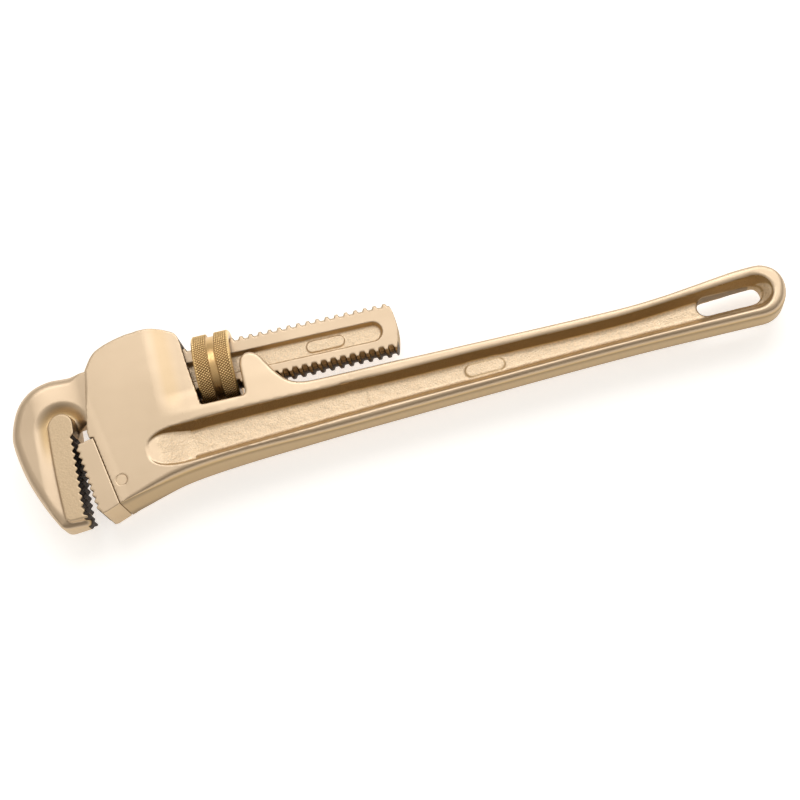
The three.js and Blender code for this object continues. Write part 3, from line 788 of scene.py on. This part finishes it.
# ---- springs ----
def make_coil():
    """The coil stands in its pocket, in its rest shape. In the wrench the leaf presses its top down as the
    jaw rocks; that is not made here.
    """
    low, high = box("coil_spring")
    steps, sides, wire = 320, 20, COIL["wire"]
    middle = (low + high) / 2
    radius = (high[0] - low[0]) / 2 - wire
    t = np.linspace(0, 1, steps)[:, None, None]
    turn = t * COIL["turns"] * 2 * math.pi
    ring = (np.arange(sides) / sides * 2 * math.pi)[None, :, None]
    out = np.concatenate([np.cos(turn), 0 * turn, np.sin(turn)], -1)
    up = np.array((0.0, 1.0, 0.0))
    height = low[1] + wire + (high[1] - low[1] - 2 * wire) * t
    path = np.array((middle[0], 0, 0)) + radius * out + up * height
    points = (path + wire * (np.cos(ring) * out + np.sin(ring) * up)).reshape(-1, 3)
    grid = np.arange(len(points)).reshape(-1, sides)
    obj = mesh_object("coil_spring_wire", (points, None, side_quads(grid)))
    close_ends(obj, grid[0], grid[-1][::-1])
    paint_plain(obj)
    put(obj, SPRING, "spring_pack", "coil_spring")

    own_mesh(obj)
    return obj


def make_leaf():
    obj = mesh_object("flat_spring_leaf", rounded(cad_mesh("flat_spring"), 0.22, 0.2, 0.1))
    relax(obj, 2)
    paint_plain(obj)
    return put(obj, SPRING, "spring_pack", "flat_spring")


def make_rivet():
    obj = mesh_object("spring_rivet_headed", rounded(cad_mesh("spring_rivet"), 0.12, 0.15, 0.1))
    relax(obj, 2)
    paint_plain(obj)
    return put(obj, PIN_BRONZE, "spring_pack", "spring_rivet")


# ---- camera, lights and table ----
def make_camera():
    data = bpy.data.cameras.new("camera")
    data.lens, data.sensor_width = LENS, 36.0
    data.clip_start, data.clip_end = 0.05, 20.0
    camera = bpy.data.objects.new("camera", data)
    up = Vector((math.sin(ROLL), math.cos(ROLL), 0.0))
    right = up.cross(LOOK_FROM).normalized()
    up = LOOK_FROM.cross(right)
    turn = Matrix((right, up, LOOK_FROM)).transposed().to_4x4()
    place = Vector(ORIGIN) + LOOK_FROM * CAMERA_DISTANCE
    camera.matrix_world = Matrix.Translation(place) @ turn
    bpy.context.scene.collection.objects.link(camera)
    bpy.context.scene.camera = camera


def soft_light(name, place, size, watts, colour=(1, 1, 1)):
    data = bpy.data.lights.new(name, "AREA")
    data.shape, data.size, data.size_y = "RECTANGLE", size[0], size[1]
    data.energy, data.color = watts, colour
    lamp = bpy.data.objects.new(name, data)
    lamp.location = place
    lamp.rotation_euler = (-Vector(place)).to_track_quat("-Z", "Y").to_euler()
    bpy.context.scene.collection.objects.link(lamp)


def studio_world():
    """A room with a pale ceiling and a dark horizon, brighter behind the wrench (+Y)."""
    world = bpy.data.worlds.new("studio")
    world.use_nodes = True
    tree = world.node_tree
    coords = tree.nodes.new("ShaderNodeTexCoord")
    split = tree.nodes.new("ShaderNodeSeparateXYZ")
    behind = tree.nodes.new("ShaderNodeMath")
    height = tree.nodes.new("ShaderNodeMath")
    behind.operation, height.operation = "MULTIPLY", "MULTIPLY_ADD"
    behind.inputs[1].default_value, height.inputs[1].default_value = 0.45, 0.75
    span = tree.nodes.new("ShaderNodeMapRange")
    mix = tree.nodes.new("ShaderNodeMix")
    mix.data_type = "RGBA"
    span.inputs["From Min"].default_value, span.inputs["From Max"].default_value = -0.2, 0.65
    mix.inputs[6].default_value, mix.inputs[7].default_value = ROOM_FRONT, ROOM_BACK
    tree.links.new(coords.outputs["Generated"], split.inputs[0])
    tree.links.new(split.outputs["Y"], behind.inputs[0])
    tree.links.new(split.outputs["Z"], height.inputs[0])
    tree.links.new(behind.outputs[0], height.inputs[2])
    tree.links.new(height.outputs[0], span.inputs["Value"])
    tree.links.new(span.outputs["Result"], mix.inputs[0])
    tree.links.new(mix.outputs[2], tree.nodes["Background"].inputs["Color"])
    bpy.context.scene.world = world


def make_stage():
    bpy.ops.mesh.primitive_plane_add(size=6.0, location=(0, 0, -0.0002))
    table = bpy.context.object
    table.name = "table"
    table.data.materials.append(lit_table())
    studio_world()
    soft_light("key", (0.04, 0.76, 1.22), (0.80, 0.75), KEY_WATTS)
    soft_light("right", (0.64, 0.70, 1.15), (0.60, 0.70), RIGHT_WATTS)
    soft_light("front_left", (-1.1, -0.35, 0.8), (0.5, 0.7), FILL_WATTS, (1.0, 0.93, 0.84))
    bpy.context.scene.view_settings.view_transform = "Standard"


BRONZE = cast_bronze("satin_bronze", (0.73, 0.58, 0.42), (0.67, 0.53, 0.38), (0.93, 0.75, 0.545), 0.43)
# The hook's bronze is the housing's, painted darker as shade.
SHADED_HOOK_BRONZE = cast_bronze("shaded_hook_bronze", (0.67, 0.53, 0.385), (0.60, 0.47, 0.335), (0.88, 0.71, 0.515), 0.43)
BRASS = turned_brass("knurled_brass", (0.93, 0.61, 0.29), (0.15, 0.062, 0.018), 0.30)
PIN_BRONZE = turned_brass("pin_bronze", (0.75, 0.59, 0.42), (0.40, 0.28, 0.15), 0.36)
SPRING = turned_brass("spring_bronze", (0.66, 0.45, 0.23), (0.30, 0.18, 0.08), 0.3)

make_camera()
make_stage()
make_handle()
make_hook()
make_heel()
make_pin()
make_nut()
make_coil()
make_leaf()
make_rivet()
